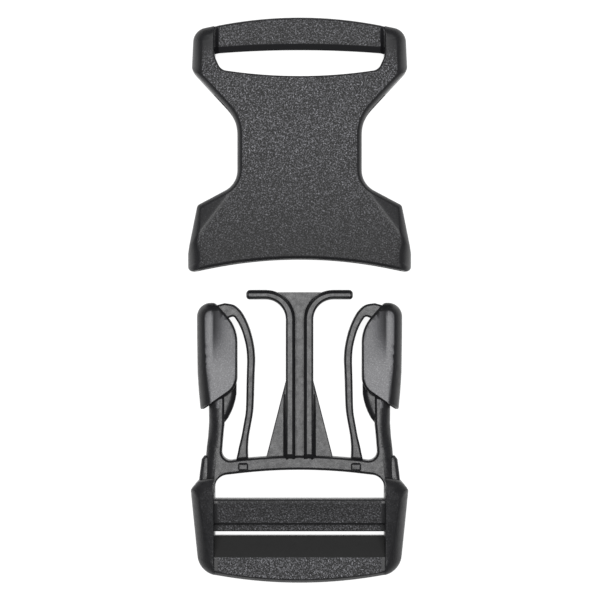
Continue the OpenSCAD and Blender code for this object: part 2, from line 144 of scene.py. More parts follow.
class BuckleColours(bpy.types.PropertyGroup):
    """Colours and finish of the moulded plastic"""

    plastic: bpy.props.StringProperty(
        name="Plastic", description="Colour of the plastic as an sRGB hex value", default="#1e1e20"
    )
    # Painted glints: bright points painted into the grain's colour, standing for light caught by its facets
    glint: bpy.props.StringProperty(
        name="Speck",
        description="Colour of the bright points in the grain as an sRGB hex value",
        default="#a6a6ac",
    )
    # Painted sheen: pale colour painted on the heads' level faces and as pale points on the satin faces,
    # standing for the lamp light they mirror
    sheen: bpy.props.StringProperty(
        name="Bloom",
        description="Colour of the pale bloom on the heads as an sRGB hex value",
        default="#88888c",
    )
    # Real spark eroded grain, of 0.05 to 0.1 mm, is finer than a pixel, so it is drawn coarser
    grain_size: bpy.props.FloatProperty(
        name="Grain Size",
        description="Distance between the pits of the spark eroded grain",
        default=0.00031,
        unit="LENGTH",
    )
    grain_depth: bpy.props.FloatProperty(
        name="Grain Depth",
        description="Depth of the pits of the spark eroded grain",
        default=0.00012,
        unit="LENGTH",
    )


def deselect_all():
    """Leaves edit mode with nothing selected"""
    if bpy.context.object and bpy.context.object.mode != "OBJECT":
        bpy.ops.object.mode_set(mode="OBJECT")
    bpy.ops.object.select_all(action="DESELECT")


def take_up(piece):
    """Makes one object the selected and active one"""
    deselect_all()
    piece.select_set(True)
    bpy.context.view_layer.objects.active = piece


def turn_sense(corners):
    """One for an outline that runs anticlockwise, and minus one for the other way round"""
    area = 0
    for here, after in zip(corners, corners[1:] + corners[:1]):
        area += here.x * after.y - here.y * after.x
    return 1 if area > 0 else -1


def moved_in(corners, share=1.0):
    """The outline with each edge moved inwards by a share of its own edge round"""
    sense = turn_sense(corners)
    result = []
    for i, corner in enumerate(corners):
        if corner.inner:
            x, y, bend = (a + (b - a) * share for a, b in zip(corner, corner.inner))
            result.append(Corner(x, y, bend, corner.edge))
            continue
        before = corners[i - 1]
        into, out, _ = corner_parts(corners, i)
        side_in = Vector((-into.y, into.x)) * sense
        side_out = Vector((-out.y, out.x)) * sense
        first = before.edge * share
        second = corner.edge * share
        cross = into.x * out.y - into.y * out.x
        middle = (first + second) / 2
        if abs(cross) < FLAT_TURN:
            step = (side_in + side_out).normalized() * middle
        else:
            across = first * side_out.y - second * side_in.y
            along = second * side_in.x - first * side_out.x
            step = Vector((across, along)) / cross
        bend = corner.round
        if bend > 0:
            bend = max(bend - middle, LEAST_ROUND) if cross * sense > 0 else max(bend + middle, LEAST_ROUND)
        result.append(Corner(corner.x + step.x, corner.y + step.y, bend, corner.edge))
    return result


def corner_parts(corners, i):
    """Directions into and out of one corner and the signed turn between them"""
    before, corner, after = corners[i - 1], corners[i], corners[(i + 1) % len(corners)]
    into = Vector((corner.x - before.x, corner.y - before.y)).normalized()
    out = Vector((after.x - corner.x, after.y - corner.y)).normalized()
    turn = math.atan2(into.x * out.y - into.y * out.x, into.dot(out))
    return into, out, turn


def piece_counts(corners):
    """Number of pieces in each corner's arc and in the straight edge after it"""
    arcs = []
    reaches = []
    for i, corner in enumerate(corners):
        turn = corner_parts(corners, i)[2]
        rounded = corner.round > 0 and abs(turn) > FLAT_TURN
        arcs.append(max(2, math.ceil(abs(turn) / ARC_STEP)) if rounded else 0)
        reaches.append(corner.round * math.tan(abs(turn) / 2) if rounded else 0)
    result = []
    for i, corner in enumerate(corners):
        j = (i + 1) % len(corners)
        whole = math.hypot(corners[j].x - corner.x, corners[j].y - corner.y)
        straight = whole - reaches[i] - reaches[j]
        result.append((arcs[i], max(1, math.ceil(straight / LONGEST))))
    return result


def outline(corners, counts):
    """Points round the outline, each as x, y and the edge round at that place"""
    arcs = []
    for i, corner in enumerate(corners):
        before = corners[i - 1]
        into, _, turn = corner_parts(corners, i)
        pieces = counts[i][0]
        place = Vector((corner.x, corner.y))
        if not pieces:
            arcs.append([(place.x, place.y, (before.edge + corner.edge) / 2)])
            continue
        side = 1 if turn > 0 else -1
        start = place - into * corner.round * math.tan(abs(turn) / 2)
        centre = start + side * corner.round * Vector((-into.y, into.x))
        first = math.atan2(start.y - centre.y, start.x - centre.x)
        arc = []
        for k in range(pieces + 1):
            share = k / pieces
            angle = first + turn * share
            edge = before.edge + (corner.edge - before.edge) * share
            x = centre.x + corner.round * math.cos(angle)
            y = centre.y + corner.round * math.sin(angle)
            arc.append((x, y, edge))
        arcs.append(arc)
    points = []
    for i, arc in enumerate(arcs):
        points.extend(arc)
        end = arc[-1]
        after = arcs[(i + 1) % len(arcs)][0]
        pieces = counts[i][1]
        for k in range(1, pieces):
            points.append(tuple(a + (b - a) * k / pieces for a, b in zip(end, after)))
    return points


def bowed(start, end, base, bow, span, edge, pieces=16):
    """Corners along an edge that bows off y = base by bow at the half width span"""
    result = []
    for i in range(pieces + 1):
        x = start + (end - start) * i / pieces
        result.append(Corner(x, base + bow * (x / span) ** 2, 0.0, edge))
    return result


def mirrored(chain, edge):
    """The chain of corners on the other side, run backwards; edge is the round before the chain"""
    before = [edge] + [corner.edge for corner in chain[:-1]]
    result = []
    for corner, old in zip(reversed(chain), reversed(before)):
        inner = (-corner.inner[0],) + corner.inner[1:] if corner.inner else ()
        result.append(Corner(-corner.x, corner.y, corner.round, old, inner))
    return result


def shifted(corners, rise):
    """The corners moved along Y"""
    result = []
    for corner in corners:
        inner = (corner.inner[0], corner.inner[1] + rise, corner.inner[2]) if corner.inner else ()
        result.append(corner._replace(y=corner.y + rise, inner=inner))
    return result


def smooth(places, pieces=4):
    """Smooth curve through the given places"""
    result = []
    for i in range(len(places) - 1):
        a, b, c, d = (Vector(places[min(max(i + k, 0), len(places) - 1)]) for k in (-1, 0, 1, 2))
        for k in range(pieces):
            t = k / pieces
            bent = (2 * a - 5 * b + 4 * c - d) * t * t + (3 * b - a - 3 * c + d) * t * t * t
            result.append(b + ((c - a) * t + bent) / 2)
    result.append(Vector(places[-1]))
    return result


def loft(name, rings):
    """Solid from a circle whose edges are extruded from ring to ring and filled at both ends"""
    deselect_all()
    bpy.ops.mesh.primitive_circle_add(vertices=len(rings[0]), radius=MM, fill_type="NOTHING")
    piece = bpy.context.object
    piece.name = name
    for vertex, place in zip(piece.data.vertices, rings[0]):
        vertex.co = Vector(place) * MM
    places = [tuple(vertex.co) for vertex in piece.data.vertices]
    bpy.ops.object.mode_set(mode="EDIT")
    bpy.ops.mesh.select_mode(type="EDGE")
    bpy.ops.mesh.select_all(action="SELECT")
    for ring in rings[1:]:
        bpy.ops.mesh.extrude_edges_move()
        work = bmesh.from_edit_mesh(piece.data)
        fresh = {tuple(vertex.co): vertex for vertex in work.verts if vertex.select}
        moved = [fresh[place] for place in places]
        for vertex, place in zip(moved, ring):
            vertex.co = Vector(place) * MM
        places = [tuple(vertex.co) for vertex in moved]
        bmesh.update_edit_mesh(piece.data)
    bpy.ops.mesh.select_all(action="DESELECT")
    bpy.ops.mesh.select_non_manifold(extend=False, use_wire=False, use_multi_face=False, use_verts=False)
    bpy.ops.mesh.edge_face_add()
    work = bmesh.from_edit_mesh(piece.data)
    if any(len(edge.link_faces) != 2 for edge in work.edges):
        fill_ends(piece)
    bpy.ops.mesh.select_all(action="SELECT")
    bpy.ops.mesh.normals_make_consistent(inside=False)
    bpy.ops.object.mode_set(mode="OBJECT")
    return piece


def fill_ends(piece):
    """Fills each open end of a tube in edit mode with one face"""
    while True:
        work = bmesh.from_edit_mesh(piece.data)
        start = next((edge for edge in work.edges if len(edge.link_faces) == 1), None)
        if start is None:
            return
        bpy.ops.mesh.select_all(action="DESELECT")
        start.select = True
        bmesh.update_edit_mesh(piece.data)
        bpy.ops.mesh.loop_multi_select(ring=False)
        bpy.ops.mesh.edge_face_add()


def slab_rings(corners, low, high, pieces=6, lift=1.0, crease=18):
    """Rings of a slab whose rounds are lift times as high as wide and meet the face at a crease in degrees"""
    counts = piece_counts(corners)
    outer = outline(corners, counts)
    inset = outline(moved_in(corners), counts)
    furthest = math.radians(90 - crease)
    # The two rounds of an edge leave a little of its wall upright
    tallest = (high - low) / 2 * 0.96
    rings = []
    steps = [(k, -1) for k in range(pieces, -1, -1)] + [(k, 1) for k in range(pieces + 1)]
    for k, side in steps:
        angle = furthest * k / pieces
        share = (1 - math.cos(angle)) / (1 - math.cos(furthest))
        ring = []
        for (x, y, edge), (u, v, _) in zip(outer, inset):
            fall = min(edge * lift, tallest) * (1 - math.sin(angle) / math.sin(furthest))
            z = high - fall if side > 0 else low + fall
            ring.append((x + (u - x) * share, y + (v - y) * share, z))
        rings.append(ring)
    return rings


def slab(name, corners, low, high, pieces=6, lift=1.0, crease=18):
    """Slab of a plan outline with rounded edges"""
    return loft(name, slab_rings(corners, low, high, pieces, lift, crease))


def flared_cutter(name, corners, low, high, flare, pieces=5):
    """Cutting body that widens at both faces, so that the edges it leaves are rounded"""
    counts = piece_counts(corners)
    even = [corner._replace(edge=flare) for corner in corners]
    inner = outline(even, counts)
    outer = outline(moved_in(even, -1.0), counts)

    def ring(share, z):
        return [(x + (u - x) * share, y + (v - y) * share, z) for (x, y, _), (u, v, _) in zip(inner, outer)]

    # The cutter goes past each face, and is a little wider there than the flare
    wider = 1.1
    steps = [(wider, -1.0), (wider, -0.03)]
    for k in range(pieces - 1, -1, -1):
        angle = math.pi / 2 * k / pieces
        steps.append((1 - math.cos(angle), flare * (1 - math.sin(angle))))
    rings = [ring(share, low + inward) for share, inward in steps]
    rings += [ring(share, high - inward) for share, inward in reversed(steps)]
    return loft(name, rings)


def bar_along_x(name, sections):
    """Bar whose cross sections are given in order along X, as X and its points in Y and Z"""
    return loft(name, [[(x, y, z) for y, z in points] for x, points in sections])


def section_points(corners):
    """Points of a cross section whose corners are rounded"""
    return [(x, y) for x, y, _ in outline(corners, piece_counts(corners))]


def combine(piece, tool, operation):
    """Joins the tool to the piece, or cuts the piece with it"""
    take_up(piece)
    modifier = piece.modifiers.new("combine", "BOOLEAN")
    modifier.operation = operation
    modifier.solver = "EXACT"
    modifier.object = tool
    bpy.ops.object.modifier_apply(modifier=modifier.name)
    bpy.data.objects.remove(tool)
    return piece


def split_along(piece, place, normal):
    """Lays an edge across the piece along a plane, with nothing cut off"""
    take_up(piece)
    bpy.ops.object.mode_set(mode="EDIT")
    bpy.ops.mesh.select_all(action="SELECT")
    bpy.ops.mesh.bisect(plane_co=[c * MM for c in place], plane_no=normal, use_fill=False)
    bpy.ops.object.mode_set(mode="OBJECT")


def thin(piece, middle, fall):
    """Brings both halves of the piece nearer its middle, by what fall(x, y) gives for above and below"""
    for vertex in piece.data.vertices:
        x, y, z = (c / MM for c in vertex.co)
        above, below = fall(x, y)
        share = (above if z > middle else below) / middle
        vertex.co.z = (middle + (z - middle) * (1 - share)) * MM
    take_up(piece)
    bpy.ops.object.mode_set(mode="EDIT")
    bpy.ops.mesh.select_all(action="SELECT")
    bpy.ops.mesh.dissolve_degenerate(threshold=TINY)
    bpy.ops.mesh.select_all(action="DESELECT")
    bpy.ops.mesh.select_mode(type="FACE")
    bpy.ops.mesh.select_face_by_sides(number=4, type="GREATER")
    bpy.ops.mesh.quads_convert_to_tris(quad_method="BEAUTY", ngon_method="BEAUTY")
    bpy.ops.object.mode_set(mode="OBJECT")


def ease(share):
    """Smooth step from nought to one"""
    share = min(max(share, 0.0), 1.0)
    return share * share * (3 - 2 * share)


def finish_piece(piece, material, slot, *nodes):
    """Cleans the mesh, shades it, gives it its plastic and lets it stand for its CAD nodes"""
    take_up(piece)
    bpy.ops.object.mode_set(mode="EDIT")
    bpy.ops.mesh.select_all(action="SELECT")
    bpy.ops.mesh.remove_doubles(threshold=TINY)
    bpy.ops.mesh.select_all(action="SELECT")
    bpy.ops.mesh.normals_make_consistent(inside=False)
    bpy.ops.object.mode_set(mode="OBJECT")
    bpy.ops.object.shade_smooth_by_angle(angle=SHARP_FROM)
    modifier = piece.modifiers.new("even_shading", "WEIGHTED_NORMAL")
    modifier.keep_sharp = True
    bpy.ops.object.modifier_apply(modifier=modifier.name)
    piece.data.materials.clear()
    piece.data.materials.append(material)
    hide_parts(*nodes)


def linear(code):
    """Linear colour from an sRGB hex value"""
    parts = [int(code[i : i + 2], 16) / 255 for i in (1, 3, 5)]
    return [c / 12.92 if c <= 0.04045 else ((c + 0.055) / 1.055) ** 2.4 for c in parts] + [1.0]


def add_node(tree, kind, settings=None, links=None):
    """Adds a node with its settings, on the node or its inputs, and its links from sockets or other nodes"""
    node = tree.nodes.new(kind)
    for name, value in (settings or {}).items():
        if isinstance(name, str) and hasattr(node, name):
            setattr(node, name, value)
        else:
            node.inputs[name].default_value = value
    for name, source in (links or {}).items():
        tree.links.new(source.outputs[0] if isinstance(source, bpy.types.Node) else source, node.inputs[name])
    return node


def socket_chain(size):
    """Right side of the socket's plan, from the crown's corner to the mouth's tip, at depths below zero"""
    post = size["post_half"]
    waist = size["waist_half"]
    return [
        Corner(post - 0.3, -3.0, 3.2, 3.2, (post - 2.6, -4.7, 1.2)),
        Corner(post + 0.1, -12.05, 2.4, size["edge_round"], (post - 2.6, -13.0, 1.5)),
        Corner(waist, -23.45, 9.0, size["edge_round"]),
        Corner(waist, -38.25, 5.2, 1.0),
        Corner(post - 1.25, -43.05, 1.0, 1.2, (post - 2.2, -43.75, 0.5)),
        Corner(post + 0.6, -52.2, 0.0, 3.0, (post - 2.0, -51.4, 0.0)),
        Corner(post + 0.95, -54.05, 0.0, 3.4, (post - 2.7, -53.7, 0.0)),
        Corner(post + 0.95, -58.45, 1.2, 0.9, (post - 2.8, -56.8, 0.8)),
    ]


class BUCKLE_OT_socket(bpy.types.Operator):
    """Models the socket: its shell with waist and wings, the webbing slot and the webbing bar"""

    bl_idname = "buckle.socket"
    bl_label = "Socket"

    def execute(self, context):
        size = measures(context.scene)
        crown_edge = 1.6
        half = size["slot_half"]
        crown_half = half - 1.1
        lip_half = half + 2.0
        lip_y = -55.35
        lip_bow = -2.8
        mouth_span = size["post_half"] - 0.65
        chain = socket_chain(size)
        plan = bowed(-crown_half, crown_half, 0.0, CROWN_BOW, half, crown_edge)
        plan += chain
        plan += bowed(lip_half, -lip_half, lip_y, lip_bow, mouth_span, 0.9, 24)
        plan += mirrored(chain, crown_edge)
        shell = slab("socket_shell", shifted(plan, HALF_LENGTH), 0.0, size["thick"], 8, lift=1.5, crease=10)
        slot = flared_cutter("slot", shifted(web_slot(size), HALF_LENGTH), 0.0, size["thick"], 0.45)
        combine(shell, slot, "DIFFERENCE")
        for depth in range(1, 17):
            split_along(shell, (0, HALF_LENGTH - depth, 0), (0, 1, 0))
        for side in (-1, 1):
            for off in (-0.7, -0.2, 0.0, 0.2, 0.7):
                x = side * (WING_X + WING_OUT.x * off)
                y = HALF_LENGTH - WING_DEPTH + WING_OUT.y * off
                split_along(shell, (x, y, 0), (side * WING_OUT.x, WING_OUT.y, 0))
        slope = math.tan(math.radians(18))
        post_slope = 0.15

        def fall(x, y):
            depth = HALF_LENGTH - y
            beyond_slot = max(abs(x) - half - 0.2, 0)
            taper = END_FALL * ease((14.7 - depth) / 13.7) + post_slope * beyond_slot * ease((15 - depth) / 3)
            off = (abs(x) - WING_X) * WING_OUT.x + (WING_DEPTH - depth) * WING_OUT.y
            along = (abs(x) - WING_X) * WING_RUN.x + (WING_DEPTH - depth) * WING_RUN.y
            # The crease itself lies a little lower, which rounds it
            facet = slope * (max(off, 0) if abs(off) > 0.1 else 0.05) * ease((along + 1.2) / 2)
            return taper + facet, facet

        thin(shell, size["thick"] / 2, fall)
        combine(shell, plug_room(size), "DIFFERENCE")
        combine(shell, webbing_bar(size), "UNION")
        finish_piece(shell, grained_acetal(context.scene.buckle_colours), "socket_plastic", "socket")
        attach(shell, "socket")
        return {"FINISHED"}


def web_slot(size):
    """Outline of the socket's webbing slot, open at the top, where the bar closes it"""
    half = size["slot_half"]
    low_half = half - 1.55
    bow_half = low_half - 1.65
    low_y = -13.7
    low_bow = 1.7
    corner_y = low_bow * (low_half / half) ** 2 + low_y
    slot = [Corner(half, 3.0), Corner(-half, 3.0), Corner(-half, -8.85, 3.0)]
    slot.append(Corner(-low_half, corner_y, 2.2))
    slot += bowed(-bow_half, bow_half, low_y, low_bow, half, 0.3)
    slot += [Corner(low_half, corner_y, 2.2), Corner(half, -8.85, 3.0)]
    return slot


def plug_room(size):
    """Cutting body for the room between the socket's plates, with the catch walls and the guide's pocket"""
    wall = 2.4
    wing_half = size["post_half"] - 1.25
    catch_half = wing_half - wall
    mouth_half = size["post_half"] + 0.95 - 2.1
    wing_slope = 4.8 / (wing_half - size["waist_half"])
    catch_y = 0.3 - (38.25 + wing_slope * (catch_half - size["waist_half"]))
    wide = size["post_half"] + 3
    pocket = 12.5
    chain = [
        Corner(pocket, -14.8),
        Corner(pocket, -17.3),
        Corner(wide, -17.3),
        Corner(wide, catch_y),
        Corner(catch_half, catch_y),
        Corner(catch_half, -43.55, 3.0),
        Corner(mouth_half, -54.05, 3.0),
        Corner(mouth_half, -60.0),
    ]
    plan = chain + mirrored(chain, chain[0].edge)
    plate = size["plate"]
    return slab("room", shifted(plan, HALF_LENGTH), plate, size["thick"] - plate, pieces=3)


def webbing_bar(size):
    """The socket's webbing bar, bowed at its crown and its slot edge, with its ends sunk in the posts"""
    half = size["slot_half"]
    sections = []
    counts = None
    ends = [21.2, 20.2, 19.7, 19.4, 19.1, 18.8, 18.5, 18.2]
    places = ends + [ends[-1] - ends[-1] * k / 14 for k in range(1, 15)]
    places = places + [-x for x in reversed(places[:-1])]
    for x in places:
        crown = CROWN_BOW * (x / half) ** 2
        low = -7.45 - 0.8 * (x / half) ** 2
        groove = 1.3 * ease((abs(x) - 18.35) / 1.0)
        slim = 0.2 if abs(x) > half + 0.1 else 0.0
        corners = [
            Corner(crown - slim, 2.0 + slim, 0.9),
            Corner(crown - slim, 8.4 - 0.2 * groove, 0.7),
            Corner(low + 1.5, 8.4 - groove, 0.9),
            Corner(low + slim, 7.3 - groove, 0.3),
            Corner(low + 0.7, 2.0 + slim, 1.5),
        ]
        counts = counts or piece_counts(corners)
        sections.append((x, [(y + HALF_LENGTH, z) for y, z, _ in outline(corners, counts)]))
    return bar_along_x("bar", sections)


class BUCKLE_OT_plug_frame(bpy.types.Operator):
    """Models the plug's frame: its posts, ladder bars and cross bar, and the guide with its ribs and T end"""

    bl_idname = "buckle.plug_frame"
    bl_label = "Plug Frame"

    def execute(self, context):
        size = measures(context.scene)
        plug = plug_posts(size)
        combine(plug, end_bar(size), "UNION")
        combine(plug, middle_bar(size), "UNION")
        combine(plug, cross_bar(size), "UNION")
        guide = guide_web()
        for side in (1, -1):
            combine(guide, gusset(side), "UNION")
        for side in (1, -1):
            combine(guide, rib_foot(side), "UNION")
            combine(guide, guide_rib(size, side), "UNION")
        combine(plug, guide, "UNION")
        for side in (1, -1):
            combine(plug, fin(side), "UNION")
            combine(plug, pip(side), "UNION")
        finish_piece(plug, satin_acetal(context.scene.buckle_colours), "plug_plastic", "plug_frame")
        refinish(plug, grained_acetal(context.scene.buckle_colours), on_ladder_bar)
        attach(plug, "plug")
        return {"FINISHED"}


def plug_slab(name, corners, side, low, high, **form):
    """Slab of the plug from corners on its right side, or its mirror image on the left"""
    if side < 0:
        corners = mirrored(corners, corners[-1].edge)
    return slab(name, shifted(corners, -HALF_LENGTH), low, high, **form)


def plug_posts(size):
    """The two side posts, from one rounded slab with the ladder's place cut out"""
    half = size["slot_half"]
    post = half + 5.45
    chain = [
        Corner(post - 1.9, 2.4, 4.8, 3.0, (half + 0.9, 4.6, 0.8)),
        Corner(post, 21.2, 0.9, 1.4, (post - 2.2, 19.6, 2.2)),
        Corner(post - 1.75, 23.3, 1.4, 1.0, (post - 3.4, 21.3, 2.0)),
        Corner(half + 0.5, 24.0, 0.0, 1.0, (half + 0.3, 22.2, 0.0)),
    ]
    low_half = half - 1.4
    end_edge = 1.6
    plan = bowed(-low_half, low_half, 0.0, END_BOW, half, end_edge)
    plan += chain + mirrored(chain, end_edge)
    posts = plug_slab("plug_ladder_frame", plan, 1, 0.0, size["thick"], pieces=8, lift=1.35, crease=8)
    gap = [Corner(x, y) for x, y in ((half, -4.0), (half, 40.0), (-half, 40.0), (-half, -4.0))]
    ladder = flared_cutter("ladder", shifted(gap, -HALF_LENGTH), 0.0, size["thick"], 0.35)
    combine(posts, ladder, "DIFFERENCE")
    for height in range(1, 22):
        split_along(posts, (0, height - HALF_LENGTH, 0), (0, 1, 0))
    lean = math.tan(math.radians(19))

    def fall(x, y):
        taper = END_FALL * ease((19.0 - (y + HALF_LENGTH)) / 18.0)
        return taper + lean * max(abs(x) - half - 0.3, 0), 0.0

    thin(posts, size["thick"] / 2, fall)
    return posts


def end_bar(size):
    """End bar of the ladder: a raised, bowed front and a steep slope down to the slit"""
    reach = size["slot_half"] + 0.4
    sections = []
    for k in range(-16, 17):
        x = reach * k / 16
        front = END_BOW * (x / size["slot_half"]) ** 2
        corners = [
            Corner(front, 1.6, 0.8),
            Corner(10.45, 1.6, 0.6),
            Corner(10.45, 4.4, 0.5),
            Corner(5.95, 10.0, 0.4),
            Corner(front + 0.8, 9.7, 0.9),
            Corner(front, 8.6, 0.9),
        ]
        sections.append((x, [(y - HALF_LENGTH, z) for y, z in section_points(corners)]))
    return bar_along_x("end_bar", sections)


def middle_bar(size):
    """Middle bar of the ladder that the webbing turns over, with a ledge beside the slit"""
    corners = [
        Corner(11.45, 2.8, 0.6),
        Corner(19.15, 2.4, 1.6),
        Corner(19.15, 9.3, 0.55),
        Corner(18.2, 9.3, 0.15),
        Corner(13.4, 7.95, 0.5),
        Corner(13.2, 5.6, 0.3),
        Corner(11.45, 5.2, 0.5),
    ]
    points = [(y - HALF_LENGTH, z) for y, z in section_points(corners)]
    reach = size["slot_half"] + 0.4
    return bar_along_x("middle_bar", [(reach * k / 4, points) for k in range(-4, 5)])


def cross_bar(size):
    """Cross bar bowed over the webbing slot, with the stub of each arm rising from its ends"""
    slot = size["slot_half"]
    fine = size["fine"] + 0.1
    stub_round = 2.5
    dark_edge = fine + 0.05
    top = bowed(-14.5, 14.5, 29.0, -1.6, slot, fine, 14)
    low = bowed(14.6, -14.6, 25.8, -1.6, slot, dark_edge, 14)
    chain = [
        Corner(17.95, 27.55, 2.0, fine),
        Corner(17.73, 31.0, 0.0, 0.02),
        Corner(21.25, 31.0, 0.0, stub_round),
        Corner(21.5, 28.6, 0.0, 2.05),
        Corner(21.8, 20.6, 0.0, 0.2),
        Corner(slot - 0.1, 20.6, 0.0, 0.2),
        Corner(slot - 0.1, 24.36, 3.0, dark_edge),
    ]
    plan = top + chain + low + mirrored(chain, fine)
    return plug_slab("cross_bar", plan, 1, 3.3, 8.7, pieces=5, lift=1.1, crease=CRISP)


def guide_rib(size, side):
    """Half of the guide: a rib that curves out into the T end, drafted on its inner side"""
    rib_in = 1.0
    rib_out = 1.4 + size["rib"]
    corners = [
        Corner(rib_out, 27.6, 0.8, 0.44),
        Corner(rib_out, 64.8, 4.6, 0.72),
        Corner(12.2, 64.8, 0.8, 0.6),
        Corner(12.2, 67.0, 0.9, 0.85),
        Corner(rib_in, 67.0, 6.7, 0.7),
        Corner(rib_in, 27.6, 0.8, 1.9),
    ]
    return plug_slab("rib", corners, side, 2.2, 9.8, pieces=4, lift=1.8, crease=CRISP)


def rib_foot(side):
    """Draft at the foot of a rib, where it meets the gusset"""
    corners = [
        Corner(2.0, 28.4, 0.0, 0.4),
        Corner(3.75, 28.4, 0.0, 0.6),
        Corner(3.75, 43.1, 0.0, 0.4),
        Corner(2.0, 43.1, 0.0, 0.1),
    ]
    return plug_slab("foot", corners, side, 3.8, 8.2, pieces=3, lift=2.2, crease=30)


def guide_web():
    """Sunk web between the ribs, which flares at the T end"""
    chain = [
        Corner(2.2, 28.3, 0.0, 0.1),
        Corner(2.2, 66.05, 4.6, 0.1),
        Corner(7.0, 66.05, 0.0, 0.1),
        Corner(7.7, 66.45, 0.0, 0.1),
    ]
    return plug_slab("web", chain + mirrored(chain, 0.1), 1, 5.0, 7.0, pieces=2)


def gusset(side):
    """Thin gusset between the stem and the cross bar"""
    corners = [
        Corner(2.0, 28.0, 0.0, 0.1),
        Corner(7.8, 28.0, 0.0, 0.35),
        Corner(3.1, 46.4, 0.0, 0.1),
        Corner(2.0, 46.4, 0.0, 0.1),
    ]
    return plug_slab("gusset", corners, side, 5.1, 6.9, pieces=2)


def fin(side):
    """Thin fin outside the foot of an arm"""
    corners = [
        Corner(21.0, 23.0, 0.0, 0.2),
        Corner(23.05, 23.2, 0.0, 0.85),
        Corner(22.85, 25.2, 0.0, 0.85),
        Corner(22.45, 28.2, 0.4, 0.75),
        Corner(21.75, 29.1, 0.3, 0.4),
        Corner(21.0, 28.6, 0.0, 0.2),
    ]
    return plug_slab("fin", corners, side, 4.3, 7.7, pieces=3, crease=CRISP)


def pip(side):
    """Small raised pip on both faces of the cross bar, under a spring's foot"""
    corners = [
        Corner(11.75, 25.55, 0.5, 0.55),
        Corner(14.05, 25.55, 0.5, 0.4),
        Corner(14.05, 27.45, 0.5, 0.6),
        Corner(11.75, 27.45, 0.5, 0.4),
    ]
    return plug_slab("pip", corners, side, 2.7, 9.3, pieces=3, crease=CRISP)


class BUCKLE_OT_arms(bpy.types.Operator):
    """Models the two arms: the shaft, the web under the head, and the head with its catch step"""

    bl_idname = "buckle.arms"
    bl_label = "Arms"

    def execute(self, context):
        size = measures(context.scene)
        for side, name in ((-1, "left"), (1, "right")):
            arm = arm_shaft(size, side)
            combine(arm, under_head(side), "UNION")
            combine(arm, arm_head(size, side), "UNION")
            arm.name = name + "_release_arm"
            finish_piece(arm, satin_acetal(context.scene.buckle_colours), "plug_plastic", name + "_arm")
            refinish(arm, pitted_sheen_acetal(context.scene.buckle_colours), on_head)
            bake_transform(arm)
        return {"FINISHED"}


def arm_shaft(size, side):
    """Shaft of an arm, rounded on its outer side"""
    fine = size["fine"] + 0.1
    corners = [
        Corner(21.25, 31.0, 0.0, 2.5),
        Corner(20.98, 33.5, 0.0, 2.4),
        Corner(20.78, 36.5, 0.0, 2.35),
        Corner(20.76, 42.5, 0.0, fine),
        Corner(17.24, 42.5, 0.0, fine),
        Corner(17.24, 36.2, 0.0, fine),
        Corner(17.44, 34.4, 0.0, fine),
        Corner(17.73, 31.0, 0.0, 0.02),
    ]
    return plug_slab("shaft", corners, side, 3.3, 8.7, pieces=5, lift=1.1, crease=CRISP)


def under_head(side):
    """Thin web between the shaft and the foot of the head"""
    corners = [
        Corner(18.4, 35.0, 0.0, 0.2),
        Corner(18.4, 45.5, 0.0, 0.2),
        Corner(14.45, 45.5, 0.0, 1.3),
        Corner(14.48, 43.1, 0.0, 1.3),
        Corner(14.73, 41.7, 0.0, 1.3),
        Corner(15.13, 40.3, 0.0, 1.3),
        Corner(15.66, 38.96, 0.0, 1.2),
        Corner(16.37, 37.6, 0.0, 1.0),
    ]
    return plug_slab("under_head", corners, side, 4.2, 7.8, pieces=4, lift=1.3, crease=CRISP)


def arm_head(size, side):
    """Release head: a face dished beside a level strip, between a full outer round and a fine inner one"""
    fine = size["fine"]
    corners = [
        Corner(22.75, 39.7, 0.3, 2.6, (20.35, 40.95, 0.1)),
        Corner(23.15, 44.0, 0.0, 2.4),
        Corner(23.4, 48.0, 0.0, 2.2),
        Corner(23.5, 55.0, 0.0, 2.1),
        Corner(23.55, 64.05, 3.2, 2.0),
        Corner(19.5, 64.05, 1.2, 0.45),
        Corner(14.3, 58.4, 8.8, 0.45),
        Corner(14.3, 44.15, 5.0, 1.0),
        Corner(20.85, 40.4, 0.0, 1.0, (20.0, 41.4, 0.0)),
        Corner(21.9, 39.75, 0.0, 1.0, (20.2, 41.17, 0.0)),
    ]
    head = plug_slab("head", corners, side, 2.2, 9.8, pieces=7, lift=1.5, crease=28)
    strip = 20.1
    dish_width = 5.75
    deepest = 2.3
    for off in (0.0, 0.5, 1.1, 1.8, 2.6, 3.5, 4.7):
        split_along(head, (side * (strip - off), 0, 0), (1, 0, 0))
    for height in range(46, 61, 2):
        split_along(head, (0, height - HALF_LENGTH, 0), (0, 1, 0))

    def fall(x, y):
        share = min(max((strip - abs(x)) / dish_width, 0), 1)
        dished = deepest * share * (2 - share) * ease((y + HALF_LENGTH - 46.0) / 12.0)
        return dished, dished

    thin(head, MID_HEIGHT, fall)
    return head


class BUCKLE_OT_springs(bpy.types.Operator):
    """Models the two spring strands, which hook over to the tops of the heads"""

    bl_idname = "buckle.springs"
    bl_label = "Springs"

    def execute(self, context):
        size = measures(context.scene)
        for side, name in ((-1, "left"), (1, "right")):
            strand = spring_strand(size, side)
            strand.name = name + "_spring_strand"
            finish_piece(strand, satin_acetal(context.scene.buckle_colours), "plug_plastic", name + "_spring")
            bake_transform(strand)
        return {"FINISHED"}


